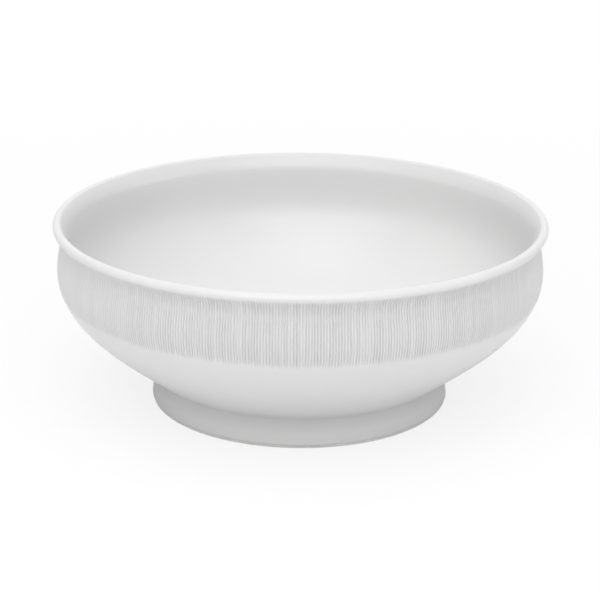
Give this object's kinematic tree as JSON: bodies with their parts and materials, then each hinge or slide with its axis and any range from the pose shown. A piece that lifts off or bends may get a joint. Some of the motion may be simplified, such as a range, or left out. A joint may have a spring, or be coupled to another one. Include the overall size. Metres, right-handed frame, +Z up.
{
  "type": "footed serving bowl",
  "caption": "Round white porcelain serving bowl with a rolled lip, a finely fluted band under it and a turned foot ring.",
  "frame": {"origin": "centre of the standing rim, on the surface the bowl stands on", "axes": "+Z up, along the axis the bowl was turned about; the bowl is the same all round, so X and Y are free"},
  "size_m": [0.28, 0.28, 0.107],
  "materials": {
    "porcelain_body": "unglazed white porcelain, ground smooth where it stands",
    "slip": "porcelain slip, fired in the seam under the glaze",
    "clear_glaze": "soft-gloss clear glaze over white porcelain"
  },
  "bodies": {
    "root": {"bowl_body": "porcelain_body", "foot_ring": "porcelain_body", "luting_slip": "slip", "glaze_coat": "clear_glaze", "base_glaze": "clear_glaze"}
  },
  "joints": []
}
